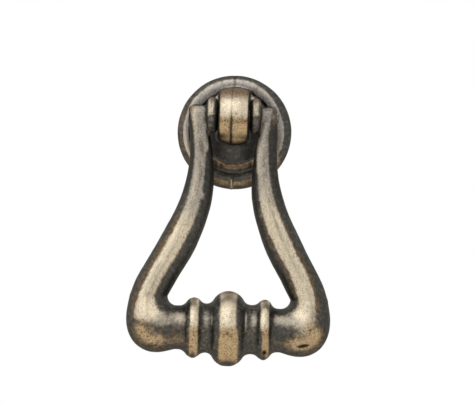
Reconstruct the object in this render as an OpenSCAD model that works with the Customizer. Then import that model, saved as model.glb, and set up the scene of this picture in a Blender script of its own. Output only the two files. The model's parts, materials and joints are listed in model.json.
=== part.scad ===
// Drop handle for a drawer or a cupboard door.
// A round rosette carries a knuckle. A cast bail, two swept arms and a beaded bar,
// hangs from the knuckle on a pin and swings up to be pulled.
// The back of the rosette lies in the plane Y = 0, its front faces -Y and +Z is up.
// The origin is the mouth of the tapped fixing hole, in the middle of the back.

/* [Rosette] */
// Diameter of the rosette
rosette_d = 25.2; // [24:0.1:32]
// Height of the outer ring's crest above the back
ring_h = 4.2; // [3.6:0.1:5]
// Radius of the outer ring's rounded section
ring_round_r = 1.7; // [1.4:0.05:1.9]
// Height of the groove's floor above the back
groove_h = 2.4; // [2:0.1:3]
// Radius of the inner ring's crest line, from the middle
inner_ring_r = 7.45; // [6.6:0.05:7.8]
// Radius of the inner ring's rounded section
inner_ring_round_r = 0.8; // [0.5:0.05:1]
// Height of the inner ring's crest above the back
inner_ring_h = 3.7; // [3.3:0.1:4.2]
// Height of the dome's edge above the back
dome_edge_h = 3.2; // [2.8:0.1:3.6]
// Height of the dome's middle above the back
dome_h = 5; // [4:0.1:6]
// Chamfer on the back edge
back_chamfer = 0.3; // [0.1:0.05:0.6]

/* [Cored back] */
// Width of the flat rim that lies on the drawer front
rim_w = 1.8; // [1.2:0.1:2.4]
// Radius of the boss round the fixing hole
boss_r = 4.6; // [3.4:0.1:5.4]
// Depth of the core behind the groove
core_outer_depth = 1; // [0.4:0.1:1.4]
// Depth of the core behind the dome
core_inner_depth = 1.9; // [1:0.1:2.2]
// Radius at which the core gets shallower
core_step_r = 7.8; // [6.6:0.1:8.2]
// Tapping bore of the fixing hole, for an M4 screw
fixing_d = 3.3; // [2.5:0.1:3.6]
// Depth of the fixing hole
fixing_depth = 8; // [5:0.5:8.5]

/* [Knuckle] */
// Width of the knuckle between its flat sides
knuckle_w = 6.6; // [5:0.1:7.4]
// Radius of the knuckle's round post and end
knuckle_r = 6.2; // [5.4:0.1:6.4]
// Height of the pivot above the middle of the rosette
pivot_up = 3.6; // [3:0.1:3.8]

/* [Pivot] */
// Diameter of the pivot pin
pin_d = 2.5; // [2:0.1:3]
// Radial running clearance of the pin in the knuckle
pin_clearance = 0.05; // [0.02:0.01:0.08]
// Depth of the pin's ends below the outer sides of the arms
pin_recess = 0.15; // [0.1:0.05:0.5]
// Chamfer on the pin's ends
pin_chamfer = 0.2; // [0.1:0.05:0.4]
// Gap between each collar and the knuckle
side_gap = 0.3; // [0.2:0.05:0.6]
// Width of each collar
collar_w = 2.5; // [1.8:0.1:2.8]
// Radius of each collar
collar_r = 4; // [3.4:0.1:4.4]

/* [Arms] */
// Width of the arm's end at the pivot
end_w = 3.9; // [3.4:0.1:4.4]
// Radius of the arm's rounded end about the pivot
end_r = 2.3; // [2:0.1:2.6]
// Rounding of the end's corners, seen from the front
end_corner = 0.55; // [0.2:0.05:0.8]
// Squareness of the end's section: 2 is an ellipse
end_squareness = 3.2; // [2.2:0.1:4]
// Distance of the waist below the pivot
waist_drop = 11; // [9:0.5:13]
// How far the waist's middle lies inside the end's middle
waist_in = 1; // [0.6:0.05:1.3]
// Width of the waist
waist_w = 5.3; // [4.6:0.1:5.8]
// Depth of the waist, front to back
waist_depth = 5.2; // [4.6:0.1:5.8]
// Distance of the flare below the pivot
flare_drop = 19; // [17:0.5:21]
// How far the flare's middle lies outside the waist's middle
flare_out = 1; // [0.6:0.05:1.5]
// Width of the flare
flare_w = 7.2; // [6.4:0.1:7.8]
// Depth of the flare, front to back
flare_depth = 6.5; // [5.8:0.1:7.2]
// Height of the thigh above the start of the corner
thigh_rise = 11.15; // [9:0.05:13]
// How far the thigh's middle lies inside the middle of the corner's start
thigh_in = 5.7; // [5.1:0.1:6.3]
// Width of the thigh
thigh_w = 9; // [8.2:0.1:9.8]
// Depth of the thigh, front to back
thigh_depth = 7.9; // [7:0.1:8.6]
// Height of the hip above the start of the corner
hip_rise = 3.65; // [3:0.05:5]
// How far the hip's middle lies inside the middle of the corner's start
hip_in = 1.65; // [1.3:0.05:2.1]
// Width of the hip
hip_w = 9; // [8.4:0.1:9.6]
// Depth of the hip, front to back
hip_depth = 8; // [7.4:0.1:8.6]
// Squareness of the section at the waist and the flare
arm_squareness = 2.3; // [2:0.1:3]

/* [Corners] */
// Radius of the finger gap's lower corners
bend_inner_r = 2; // [1.5:0.1:2.4]
// Width of the arm where the corner begins
bend_w = 8.4; // [7.8:0.1:9]
// How far the corner swells beyond the arm and the bar
corner_swell = 2.8; // [2:0.1:3.2]

/* [Bar] */
// Distance of the bar's axis below the pivot
bar_drop = 47; // [44:0.5:52]
// Radius of the bar at its ends
bar_r = 4.85; // [4.4:0.05:5.2]
// Half the length of the turned bar, between the corners
bar_half_l = 11.5; // [11.2:0.1:12.5]
// Room between the middle bead and the drawer front, with the bail hanging
bead_clearance = 2.15; // [1.8:0.05:4]
// Greatest radius of the middle bead
middle_bead_r = 8.35; // [7.6:0.05:8.6]
// Radius of the middle bead's rounded section
middle_round_r = 3.8; // [3.4:0.1:4.1]
// Distance of the side beads' crests from the bar's ends
side_bead_in = 3.9; // [3.6:0.05:4.2]
// Greatest radius of the side beads
side_bead_r = 6.7; // [6.4:0.05:7]
// Radius of the side beads' rounded section
side_round_r = 1.85; // [1.7:0.05:2]
// Fillet in the necks between the beads
neck_fillet_r = 1.75; // [1.6:0.05:1.9]
// Fillet between each side bead and the bar's end
end_fillet_r = 2; // [1.5:0.1:2.2]

/* [Hidden] */
$fn = 96;
OVERSHOOT = 1;
BRASS = "darkgoldenrod";
STEEL = "dimgray";

rosette_r = rosette_d / 2;
pivot_out = middle_bead_r + bead_clearance;
pivot_bore_r = pin_d / 2 + pin_clearance;
collar_x = knuckle_w / 2 + side_gap;
end_x = collar_x + collar_w + end_w / 2;
pin_half_l = end_x + end_w / 2 - pin_recess;

// The finger gap's lower corner turns about this point
bend_x = bar_half_l;
bend_drop = bar_drop - bar_r - bend_inner_r;
bend_middle = bend_x + bend_inner_r + bend_w / 2;
waist_x = end_x - waist_in;
side_bead_x = bar_half_l - side_bead_in;

// Loft of an arm
SIDES = 32;
END_STEPS = 5;
END_ANGLE = 75;
ARM_STEPS = 26;
BEND_STEPS = 14;
// Corner swell along the bend: a raised sine that leans towards the bar
SWELL_LEAN = 1.25;
SWELL_SHARPNESS = 1.3;
// The loft ends this far inside the bar's end face, and is this much slimmer there
SOCKET_L = 0.6;
SOCKET_INSET = 0.03;
SOCKET_TAPER = 0.4;
// The bar's fillets cut this far into the rounds that they run into
FILLET_BITE = 0.005;
// The boss inside an arm's end is this much slimmer than the end
BOSS_INSET = 0.2;

// Squareness of an ellipse, and of the thigh between the flare and the hip
ROUND = 2;
thigh_squareness = (arm_squareness + ROUND) / 2;

// Stations down an arm: [distance below the pivot, middle, width, depth, squareness]
STATIONS = [
    [0, end_x, end_w, 2 * end_r, end_squareness],
    [waist_drop, waist_x, waist_w, waist_depth, arm_squareness],
    [flare_drop, waist_x + flare_out, flare_w, flare_depth, arm_squareness],
    [bend_drop - thigh_rise, bend_middle - thigh_in, thigh_w, thigh_depth, thigh_squareness],
    [bend_drop - hip_rise, bend_middle - hip_in, hip_w, hip_depth, ROUND],
    [bend_drop, bend_middle, bend_w, bend_w, ROUND],
];
LAST = len(STATIONS) - 1;

// Slope of value k at station i, from its neighbours
function slope(i, k) =
    let (a = STATIONS[max(i - 1, 0)], b = STATIONS[min(i + 1, LAST)])
    (b[k] - a[k]) / (b[0] - a[0]);

// Value k at a distance below the pivot, on a smooth curve through the stations
function along(drop, k) =
    let (
        i = max([for (j = [0 : LAST - 1]) if (STATIONS[j][0] <= drop) j]),
        span = STATIONS[i + 1][0] - STATIONS[i][0],
        t = (drop - STATIONS[i][0]) / span,
        s = 1 - t
    )
    STATIONS[i][k] * s * s * (1 + 2 * t) + STATIONS[i + 1][k] * t * t * (1 + 2 * s)
    + span * (slope(i, k) * t * s * s - slope(i + 1, k) * t * t * s);

// A rung spans a section: [inner point, outer point, depth, squareness], points as [x, drop]
function level_rung(drop, middle, width, depth, squareness) =
    [[middle - width / 2, drop], [middle + width / 2, drop], depth, squareness];

// The rounded end above the pivot
function end_rung(angle) =
    level_rung(
        -end_r * sin(angle), end_x, end_w - 2 * end_corner * pow(sin(angle), 4),
        2 * end_r * cos(angle), end_squareness
    );

function arm_rung(t) =
    let (drop = t * bend_drop)
    level_rung(drop, along(drop, 1), along(drop, 2), along(drop, 3), along(drop, 4));

// Rungs that fan round the finger gap's lower corner, from level to upright
function bend_rung(t) =
    let (
        swell = corner_swell * pow(sin(180 * pow(t, SWELL_LEAN)), SWELL_SHARPNESS),
        width = bend_w + (2 * (bar_r - SOCKET_INSET) - bend_w) * t + swell,
        inner_r = bend_inner_r + SOCKET_INSET * t,
        ray = [cos(90 * t), sin(90 * t)],
        centre = [bend_x, bend_drop]
    )
    [centre + inner_r * ray, centre + (inner_r + width) * ray, width, ROUND];

// The loft's tip, inside the bar
function socket_rung() =
    let (x = bend_x - SOCKET_L, r = bar_r - SOCKET_TAPER)
    [[x, bar_drop - r], [x, bar_drop + r], 2 * r, ROUND];

function signed_power(v, p) = sign(v) * pow(abs(v), p);

// Points of one section
function section(rung) =
    let (middle = (rung[0] + rung[1]) / 2, reach = (rung[1] - rung[0]) / 2)
    [
        for (i = [0 : SIDES - 1])
            let (
                a = 360 * i / SIDES,
                p = middle + reach * signed_power(cos(a), 2 / rung[3]),
                y = rung[2] / 2 * signed_power(sin(a), 2 / rung[3])
            )
            [p[0], y, -p[1]]
    ];

// Solid skin over sections with the same number of points
module loft(sections) {
    count = len(sections);
    n = len(sections[0]);
    polyhedron(
        points = [for (s = sections) each s],
        faces = [
            [for (j = [n - 1 : -1 : 0]) j],
            for (i = [0 : count - 2]) for (j = [0 : n - 1])
                let (k = (j + 1) % n)
                [i * n + j, i * n + k, (i + 1) * n + k, (i + 1) * n + j],
            [for (j = [0 : n - 1]) (count - 1) * n + j],
        ],
        convexity = 4
    );
}

// Turns a shape drawn with its axis up so that the axis points to the front
module facing_front() {
    rotate([90, 0, 0]) children();
}

// Moves a shape drawn round the pivot to the pivot's place
module at_pivot() {
    translate([0, -pivot_out, pivot_up]) children();
}

// A rod along X through the pivot, from -half_l to half_l
module cross_rod(r, half_l) {
    at_pivot()
        rotate([0, 90, 0])
            cylinder(r = r, h = 2 * half_l, center = true);
}

// Half section of the rosette: radius to the right, height above the back upward
module rosette_section() {
    dome_rise = dome_h - dome_edge_h;
    dome_edge_r = inner_ring_r;
    dome_sphere_r = (dome_edge_r * dome_edge_r + dome_rise * dome_rise) / (2 * dome_rise);
    ring_h_mid = ring_h - ring_round_r;
    difference() {
        union() {
            square([rosette_r - ring_round_r, groove_h]);
            translate([rosette_r - 2 * ring_round_r, 0])
                square([2 * ring_round_r, ring_h_mid]);
            translate([rosette_r - ring_round_r, ring_h_mid])
                circle(r = ring_round_r);
            translate([inner_ring_r - inner_ring_round_r, 0])
                square([2 * inner_ring_round_r, inner_ring_h - inner_ring_round_r]);
            translate([inner_ring_r, inner_ring_h - inner_ring_round_r])
                circle(r = inner_ring_round_r);
            intersection() {
                translate([0, dome_h - dome_sphere_r])
                    circle(r = dome_sphere_r);
                square([dome_edge_r, dome_h]);
            }
        }
        polygon([
            [rosette_r - back_chamfer, 0],
            [rosette_r + OVERSHOOT, back_chamfer + OVERSHOOT],
            [rosette_r + OVERSHOOT, -OVERSHOOT],
            [rosette_r - back_chamfer - OVERSHOOT, -OVERSHOOT],
        ]);
    }
}

// Half section of the core behind the rosette
module core_section() {
    slope_w = core_inner_depth - core_outer_depth;
    polygon([
        [boss_r, -OVERSHOOT],
        [boss_r, core_inner_depth],
        [core_step_r, core_inner_depth],
        [core_step_r + slope_w, core_outer_depth],
        [rosette_r - rim_w, core_outer_depth],
        [rosette_r - rim_w, -OVERSHOOT],
    ]);
}

// Round post with a ball end about the pivot, cut flat on both sides
module knuckle() {
    root = groove_h / 2;
    intersection() {
        translate([0, 0, pivot_up])
            facing_front()
                rotate_extrude()
                    intersection() {
                        union() {
                            translate([0, root])
                                square([knuckle_r, pivot_out - root]);
                            translate([0, pivot_out])
                                circle(r = knuckle_r);
                        }
                        translate([0, root])
                            square([knuckle_r, pivot_out + knuckle_r]);
                    }
        translate([-knuckle_w / 2, -pivot_out - knuckle_r - OVERSHOOT, -rosette_r])
            cube([knuckle_w, pivot_out + knuckle_r + OVERSHOOT, 2 * rosette_r]);
    }
}

module rosette() {
    color(BRASS)
        difference() {
            union() {
                facing_front()
                    rotate_extrude()
                        rosette_section();
                knuckle();
            }
            facing_front()
                rotate_extrude()
                    core_section();
            facing_front()
                translate([0, 0, -OVERSHOOT])
                    cylinder(d = fixing_d, h = fixing_depth + OVERSHOOT);
            cross_rod(pivot_bore_r, knuckle_w);
        }
}

// Collar with a rounded rim, and the boss that joins it to the arm
module collar() {
    round_r = collar_w / 2;
    at_pivot()
        rotate([0, 90, 0])
            translate([0, 0, collar_x]) {
                rotate_extrude()
                    union() {
                        square([collar_r - round_r, collar_w]);
                        translate([collar_r - round_r, round_r])
                            circle(r = round_r);
                    }
                cylinder(r = end_r - BOSS_INSET, h = collar_w + end_w / 2);
            }
}

// One swept arm with its corner, from the end above the pivot to the bar
module arm() {
    at_pivot()
        loft([
            for (i = [0 : END_STEPS - 1]) section(end_rung(END_ANGLE * (1 - i / END_STEPS))),
            for (i = [0 : ARM_STEPS - 1]) section(arm_rung(i / ARM_STEPS)),
            for (i = [0 : BEND_STEPS]) section(bend_rung(i / BEND_STEPS)),
            section(socket_rung()),
        ]);
}

// Half section of the bar on one side of its middle: radius to the right, length upward.
// Fillets touch the beads: each centre lies a fillet's radius from both rounds.
module bar_half_section() {
    middle_c = [middle_bead_r - middle_round_r, 0];
    side_c = [side_bead_r - side_round_r, side_bead_x];
    reach_a = middle_round_r + neck_fillet_r;
    reach_b = side_round_r + neck_fillet_r;
    line = side_c - middle_c;
    gap = norm(line);
    on_line = (gap * gap + reach_a * reach_a - reach_b * reach_b) / (2 * gap);
    off_line = sqrt(reach_a * reach_a - on_line * on_line);
    unit = line / gap;
    neck_c = middle_c + on_line * unit + off_line * [unit[1], -unit[0]];
    end_c_r = bar_r + end_fillet_r;
    end_reach = side_round_r + end_fillet_r;
    end_c = [
        end_c_r,
        side_c[1] + sqrt(end_reach * end_reach - pow(end_c_r - side_c[0], 2)),
    ];
    touch_a = middle_c + (neck_c - middle_c) * middle_round_r / reach_a;
    touch_b = side_c + (neck_c - side_c) * side_round_r / reach_b;
    touch_c = side_c + (end_c - side_c) * side_round_r / end_reach;
    difference() {
        union() {
            polygon([
                [0, 0], [middle_c[0], 0], touch_a, neck_c, touch_b, side_c,
                touch_c, end_c, [bar_r, end_c[1]], [bar_r, bar_half_l], [0, bar_half_l],
            ]);
            intersection() {
                translate(middle_c)
                    circle(r = middle_round_r);
                square([middle_bead_r, bar_half_l]);
            }
            translate(side_c)
                circle(r = side_round_r);
        }
        translate(neck_c)
            circle(r = neck_fillet_r + FILLET_BITE);
        translate(end_c)
            circle(r = end_fillet_r + FILLET_BITE);
    }
}

module bar_half() {
    translate([0, -pivot_out, pivot_up - bar_drop])
        rotate([0, 90, 0])
            rotate_extrude()
                bar_half_section();
}

module bail() {
    color(BRASS)
        difference() {
            union() {
                for (side = [0, 1])
                    mirror([side, 0, 0]) {
                        collar();
                        arm();
                        bar_half();
                    }
            }
            cross_rod(pin_d / 2, end_x + end_w);
        }
}

module pivot_pin() {
    color(STEEL)
        at_pivot()
            rotate([0, 90, 0])
                translate([0, 0, -pin_half_l])
                    rotate_extrude()
                        polygon([
                            [0, 0],
                            [pin_d / 2 - pin_chamfer, 0],
                            [pin_d / 2, pin_chamfer],
                            [pin_d / 2, 2 * pin_half_l - pin_chamfer],
                            [pin_d / 2 - pin_chamfer, 2 * pin_half_l],
                            [0, 2 * pin_half_l],
                        ]);
}

rosette();
bail();
pivot_pin();
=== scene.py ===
import json
import math

import bpy
import numpy as np
from mathutils import Matrix, Vector


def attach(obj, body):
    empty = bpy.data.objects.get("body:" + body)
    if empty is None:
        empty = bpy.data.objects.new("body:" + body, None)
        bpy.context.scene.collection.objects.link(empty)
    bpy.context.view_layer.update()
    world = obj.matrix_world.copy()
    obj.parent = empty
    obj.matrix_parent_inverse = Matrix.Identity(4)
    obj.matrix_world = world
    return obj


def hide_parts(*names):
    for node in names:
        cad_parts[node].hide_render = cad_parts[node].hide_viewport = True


# Drop handle: a rosette casting with a knuckle, and a cast bail that swings from it on a pin.
# Lengths are worked out in millimetres and scaled to metres where meshes are made. x runs to
# the photograph's right, y to the back and z up, and the drawer front would be at y = 0.
MM = 0.001

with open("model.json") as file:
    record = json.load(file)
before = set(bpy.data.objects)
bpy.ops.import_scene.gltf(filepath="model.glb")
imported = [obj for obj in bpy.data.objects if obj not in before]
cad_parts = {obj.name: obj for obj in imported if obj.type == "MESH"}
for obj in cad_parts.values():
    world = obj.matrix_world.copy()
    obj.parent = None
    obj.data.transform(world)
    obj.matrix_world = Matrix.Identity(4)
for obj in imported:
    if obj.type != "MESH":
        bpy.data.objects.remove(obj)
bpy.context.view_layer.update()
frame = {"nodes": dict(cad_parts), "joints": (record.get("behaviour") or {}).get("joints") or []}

# ---------------------------------------------------------------- sizes, in millimetres
PIVOT_OUT = -1000 * frame["joints"][0]["pos_m"][1]
PIVOT_UP = 1000 * frame["joints"][0]["pos_m"][2]
KNUCKLE_HALF_W, KNUCKLE_R = 3.3, 6.2
COLLAR_X, COLLAR_W, COLLAR_R = 3.6, 2.5, 4.0
END_X, END_W, END_R = 8.05, 3.9, 2.3
HUB_R, HUB_HALF_W = END_R - 0.2, 2.2
PIN_R, BAIL_BORE_GAP, KNUCKLE_BORE_GAP = 1.25, 0.03, 0.05

BEND_X, BEND_DROP = 11.5, 40.15
BEND_INNER_R, BEND_W = 2.0, 8.4
CORNER_SWELL, SWELL_LATE, SWELL_PEAK = 2.8, 1.25, 1.3
BEND_MIDDLE = BEND_X + BEND_INNER_R + BEND_W / 2
BAR_DROP, BAR_R = 47.0, 4.85
# A bead's round: how far its centre is from the bar's axis and from the bail's middle, its radius
MIDDLE_BEAD = (4.55, 0.0, 3.8)
SIDE_BEAD = (4.85, 7.6, 1.85)
NECK_FILLET_R, END_FILLET_R = 1.75, 2.0

# Stations down an arm: distance below the pivot, middle, width, depth, squareness
MIDDLE, WIDTH, DEPTH, SQUARENESS = 1, 2, 3, 4
STATIONS = np.array([
    [0.0, END_X, END_W, 2 * END_R, 2.8],
    [10.2, END_X - 1, 5.3, 5.2, 2.3],
    [19.0, END_X, 7.2, 6.5, 2.2],
    [BEND_DROP - 11.15, BEND_MIDDLE - 5.7, 9.0, 7.9, 2.15],
    [BEND_DROP - 3.65, BEND_MIDDLE - 1.65, 9.0, 8.0, 2.05],
    [BEND_DROP, BEND_MIDDLE, BEND_W, BEND_W, 2.0],
])

ROSETTE_R, RING_H, RING_ROUND_R, GROOVE_H = 12.6, 4.2, 1.7, 3.0
INNER_RING_R, INNER_ROUND_R, INNER_RING_H = 7.45, 0.8, 3.7
DOME_EDGE_H, DOME_H = 3.2, 5.0
RIM_W, BOSS_R, CORE_OUTER, CORE_INNER, CORE_STEP_R = 1.8, 4.6, 1.0, 1.9, 7.8
THREAD_R, THREAD_DEPTH, THREAD_PITCH, HOLE_DEPTH = 1.65, 0.3, 0.7, 8.0
KNUCKLE_FROM_H, KNUCKLE_ON_H = 6.5, 7.5

# How wide the fillets and the rounded edges are where forms meet
HUB_FILLET, FLAT_EDGE, BAIL_BORE_EDGE = 0.18, 0.12, 0.08
PLATE_FILLET, DOME_FILLET, KNUCKLE_FILLET, CORE_FILLET = 0.5, 0.3, 0.9, 0.3
KNUCKLE_EDGE, BACK_EDGE, CORE_EDGE, KNUCKLE_BORE_EDGE = 0.5, 0.3, 0.15, 0.1

# Where this casting isn't quite true. Pairs are for the left side (-X) and the right (+X)
KNUCKLE_SLIP = -0.23            # the knuckle's middle, from the rosette's
COLLAR_SLIP = (0.08, -0.30)     # how much further out the collars are
HEAD_SWELL = ((0.20, 0.3, 2.2), (-0.28, 0.0, 3.2))  # arms' ends: fuller by, at a drop, over
BEAD_SLIP, BEAD_SLIP_AT, BEAD_SLIP_OVER = 0.48, 7.0, 2.5    # right side bead: out by, at, over
FOOT_CUT, FOOT_AT, FOOT_W = 0.10, 0.95, 0.45    # side beads' feet, below: cut by, at, width
MIDDLE_FLAT = 8.25              # from the bar's axis to the flat under the middle bead
RING_SLOPE, RING_SLOPE_LESS = 0.80, 0.22        # the outer ring's inside, less on the right
INNER_RING_SLOPE = 0.6                          # the inner ring's outside

# Marks of wear and casting, seen from the front
SEAM_X, SEAM_DEPTH, SEAM_DEEPER = -0.70, 0.08, 0.10
CRACK_X, CRACK_DEPTH = -0.25, 0.25
FLASH_X, FLASH_H = -0.30, 0.12
NOTCH_X, NOTCH_DEPTH = 0.15, 0.30
SLIT_A, SLIT_B = np.array([15.41, -46.85]), np.array([17.95, -46.28])
SLIT_DEPTH = 0.30
# Casting pits in the bail's front: [x, z, radius, depth]
BAIL_PITS = [
    [8.18, -48.3, 0.47, 0.44], [0.11, -44.31, 0.33, 0.26], [0.79, -44.95, 0.28, 0.18],
    [-0.76, -44.78, 0.28, 0.18], [-17.21, -47.42, 0.3, 0.23], [-16.55, -47.62, 0.28, 0.2],
    [-15.67, -47.48, 0.3, 0.22], [-14.78, -47.78, 0.28, 0.18], [-18.85, -44.72, 0.28, 0.16],
    [18.16, -43.05, 0.3, 0.21], [14.01, -44.4, 0.28, 0.17], [7.83, -44.28, 0.28, 0.17],
    [-7.37, -44.89, 0.28, 0.16], [-7.73, -47.44, 0.25, 0.13],
]
# Pits in the knuckle's face, painted dark: [x, z, radius, strength]
KNUCKLE_PITS = [
    [0.21, 4.03, 0.24, 0.8], [1.58, 3.47, 0.24, 0.8], [-1.85, 2.52, 0.26, 0.6],
    [-0.60, 2.51, 0.36, 0.8], [0.43, 2.25, 0.30, 0.7], [1.60, 2.73, 0.27, 0.7],
    [2.19, 2.37, 0.30, 0.8], [-2.02, 1.40, 0.26, 0.7], [-1.22, 1.26, 0.26, 0.6],
    [-1.99, 0.49, 0.24, 0.6], [-1.46, -0.06, 0.26, 0.6], [0.30, 8.60, 0.40, 0.5],
    [0.10, 7.80, 0.28, 0.5],
]
# Bright chips on the inner edge of the left arm: [x, z, width, height]
CHIPS = [[-5.84, -3.15, 0.25, 1.3], [-6.51, -14.2, 0.35, 0.8]]

# Boxes that the two castings are looked for in, and the cells that they are sampled on
ROSETTE_SPAN, ROSETTE_CELL = ((-12.93, -17.15, -12.87), (12.93, 0.4, 12.9)), 0.16
BAIL_SPAN, BAIL_CELL = ((-23.0, -19.4, -54.0), (23.0, -1.6, 8.0)), 0.248


# ---------------------------------------------------------------- curves, blends and noise
def rise(value, low, high):
    """0 below low, 1 above high, smooth between; the other way round if low is the greater."""
    t = np.clip((value - low) / (high - low), 0, 1)
    return t * t * (3 - 2 * t)


def bump_at(d, width):
    """1 where d is 0, falling smoothly to 0 over width."""
    return np.exp(-(d / width) ** 2)


def soft_min(a, b, k):
    """The lesser of a and b, rounded over about k where they meet."""
    h = np.clip(0.5 + 0.5 * (b - a) / k, 0, 1)
    return b + (a - b) * h - k * h * (1 - h)


def soft_max(a, b, k):
    return -soft_min(-a, -b, k)


LATTICE_N, LATTICE_SHIFT = 32, 7.3
LATTICE = np.random.default_rng(11).uniform(-1, 1, (LATTICE_N, LATTICE_N, LATTICE_N))


def waves(x, y, z, size):
    """Smooth noise from -1 to 1, with bumps about size wide."""
    cells, parts = [], []
    for v in (x, y, z):
        v = v / size + LATTICE_SHIFT
        i = np.floor(v).astype(int)
        f = v - i
        cells.append(i)
        parts.append(f * f * (3 - 2 * f))
    total = 0
    for corner in np.ndindex(2, 2, 2):
        weight, index = 1, []
        for cell, part, c in zip(cells, parts, corner):
            weight = weight * (part if c else 1 - part)
            index.append((cell + c) % LATTICE_N)
        total = total + weight * LATTICE[tuple(index)]
    return total


def marks(x, z, places):
    """Sum of small round marks [x, z, radius, strength], seen from the front."""
    total = 0 * x
    for mark_x, mark_z, radius, strength in places:
        total = total + strength * bump_at(np.hypot(x - mark_x, z - mark_z), radius)
    return total


def slit(x, z):
    """A narrow crack in the right corner, widest in its middle."""
    line = SLIT_B - SLIT_A
    t = np.clip(((x - SLIT_A[0]) * line[0] + (z - SLIT_A[1]) * line[1]) / (line @ line), 0, 1)
    away = np.hypot(x - SLIT_A[0] - t * line[0], z - SLIT_A[1] - t * line[1])
    return bump_at(away, 0.16 + 0.20 * np.sin(math.pi * t))


# ---------------------------------------------------------------- the bail's shape
# A shape is a function that is below 0 inside, above 0 outside and 0 on the surface.
ELSEWHERE = 5.0     # a value for where a part of a shape doesn't apply


def along(drop, k):
    """Column k of the stations at a distance below the pivot, on a smooth curve."""
    d = STATIONS[:, 0]
    v = STATIONS[:, k]
    ends = np.arange(len(d))
    before = np.maximum(ends - 1, 0)
    after = np.minimum(ends + 1, len(d) - 1)
    slope = (v[after] - v[before]) / (d[after] - d[before])
    i = np.clip(np.searchsorted(d, drop, side="right") - 1, 0, len(d) - 2)
    span = d[i + 1] - d[i]
    t = (drop - d[i]) / span
    s = 1 - t
    return (v[i] * s * s * (1 + 2 * t) + v[i + 1] * t * t * (1 + 2 * s)
            + span * (slope[i] * t * s * s - slope[i + 1] * t * t * s))


def bar_profile():
    """Radius of the turned bar and its slope, sampled along the bar."""
    mid_c, side_c = np.array(MIDDLE_BEAD[:2]), np.array(SIDE_BEAD[:2])
    mid_r, side_r = MIDDLE_BEAD[2], SIDE_BEAD[2]
    # the neck's hollow touches both beads, and the end's hollow the side bead and the bar
    reach_a, reach_b = mid_r + NECK_FILLET_R, side_r + NECK_FILLET_R
    line = side_c - mid_c
    gap = np.hypot(*line)
    on_line = (gap * gap + reach_a ** 2 - reach_b ** 2) / (2 * gap)
    off_line = math.sqrt(reach_a ** 2 - on_line ** 2)
    unit = line / gap
    neck_c = mid_c + on_line * unit + off_line * np.array([unit[1], -unit[0]])
    end_reach = side_r + END_FILLET_R
    end_c_r = BAR_R + END_FILLET_R
    end_c_x = side_c[1] + math.sqrt(end_reach ** 2 - (end_c_r - side_c[0]) ** 2)
    end_c = np.array([end_c_r, end_c_x])
    touch_a = (mid_c + (neck_c - mid_c) * mid_r / reach_a)[1]
    touch_b = (side_c + (neck_c - side_c) * side_r / reach_b)[1]
    touch_c = (side_c + (end_c - side_c) * side_r / end_reach)[1]
    x = np.linspace(0, BEND_X, 1200)

    def arc(c, r, sign):
        return c[0] + sign * np.sqrt(np.maximum(r * r - (x - c[1]) ** 2, 0))

    radius = np.where(x < touch_a, arc(mid_c, mid_r, 1),
             np.where(x < touch_b, arc(neck_c, NECK_FILLET_R, -1),
             np.where(x < touch_c, arc(side_c, side_r, 1),
             np.where(x < end_c[1], arc(end_c, END_FILLET_R, -1), BAR_R))))
    return x, radius, np.gradient(radius, x)


BAR_X, BAR_RADIUS, BAR_SLOPE = bar_profile()


def at_corner(across, drop):
    """Place from the bend's centre, how far round it from 0 to 1, and how wide the corner is."""
    rx, rz = across - BEND_X, drop - BEND_DROP
    t = np.clip(np.arctan2(rz, np.maximum(rx, 1e-6)) / (math.pi / 2), 0, 1)
    swell = CORNER_SWELL * np.sin(math.pi * t ** SWELL_LATE) ** SWELL_PEAK
    return rx, rz, t, BEND_W + (2 * BAR_R - BEND_W) * t + swell


def arm_place(across, drop):
    """How far round the corner, 0 to 1, and across the arm, from -1 at its inner side to 1."""
    rx, rz, t, width = at_corner(across, drop)
    d = np.clip(drop, 0, BEND_DROP)
    on_arm = (across - along(d, MIDDLE)) / (along(d, WIDTH) / 2)
    in_bend = (np.hypot(np.maximum(rx, 0), rz) - BEND_INNER_R) / (width / 2) - 1
    return t, np.where(drop < BEND_DROP, on_arm, in_bend)


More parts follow.
